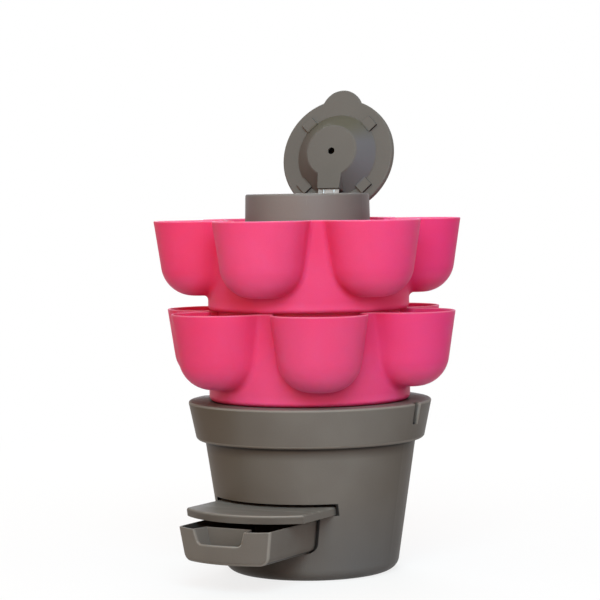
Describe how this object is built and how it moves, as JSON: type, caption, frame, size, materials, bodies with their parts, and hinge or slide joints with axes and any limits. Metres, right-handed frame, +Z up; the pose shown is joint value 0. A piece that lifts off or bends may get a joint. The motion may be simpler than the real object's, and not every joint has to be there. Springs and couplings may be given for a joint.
{
  "type": "vertical planter tower",
  "caption": "Stacked planter tower: pot with drawer and slide plate, ringed planting pockets and a hinged-lid compost tube.",
  "frame": {"origin": "centre of the pot's flat bottom", "axes": "+Z up along the tower's axis; the drawer and the slide plate pull out towards -Y; +X to the right when facing the drawer"},
  "size_m": [0.6096, 0.6613, 0.9604],
  "materials": {
    "grey_plastic": "satin",
    "housing_plastic": "satin",
    "drawer_plastic": "satin",
    "plate_plastic": "satin",
    "tube_plastic": "satin",
    "pink_plastic": "satin",
    "collar_plastic": "satin",
    "lid_plastic": "satin",
    "hinge_steel": "brushed",
    "fastener_steel": "brushed"
  },
  "bodies": {
    "base": {"base_pot": "grey_plastic", "drawer_housing": "housing_plastic", "compost_tube": "tube_plastic"},
    "drawer": {"castings_drawer": "drawer_plastic"},
    "plate": {"slide_plate": "plate_plastic"},
    "lower_tier": {"lower_tier": "pink_plastic"},
    "upper_tier": {"upper_tier": "pink_plastic"},
    "collar": {"top_collar": "collar_plastic", "hinge_collar_leaf": "hinge_steel", "hinge_pin": "hinge_steel", "hinge_bolts": "fastener_steel", "hinge_washers": "fastener_steel", "hinge_nuts": "fastener_steel"},
    "lid": {"lid": "lid_plastic", "hinge_lid_leaf": "hinge_steel"}
  },
  "joints": [
    {"name": "drawer_slide", "type": "slide", "parent": "base", "child": "drawer", "axis": [0, -1, 0], "range_m": [-0.172, 0.06]},
    {"name": "plate_slide", "type": "slide", "parent": "base", "child": "plate", "axis": [0, -1, 0], "range_m": [-0.117, 0.079]},
    {"name": "lower_tier_lift", "type": "slide", "parent": "base", "child": "lower_tier", "axis": [0, 0, 1], "range_m": [0, 0.025]},
    {"name": "upper_tier_lift", "type": "slide", "parent": "lower_tier", "child": "upper_tier", "axis": [0, 0, 1], "range_m": [0, 0.025]},
    {"name": "collar_lift", "type": "slide", "parent": "base", "child": "collar", "axis": [0, 0, 1], "range_m": [0, 0.05]},
    {"name": "lid_hinge", "type": "hinge", "parent": "collar", "child": "lid", "pos_m": [-0.01405, 0.1097, 0.7262], "axis": [0.9919, 0.1271, 0], "range_deg": [0, 105.8]}
  ]
}
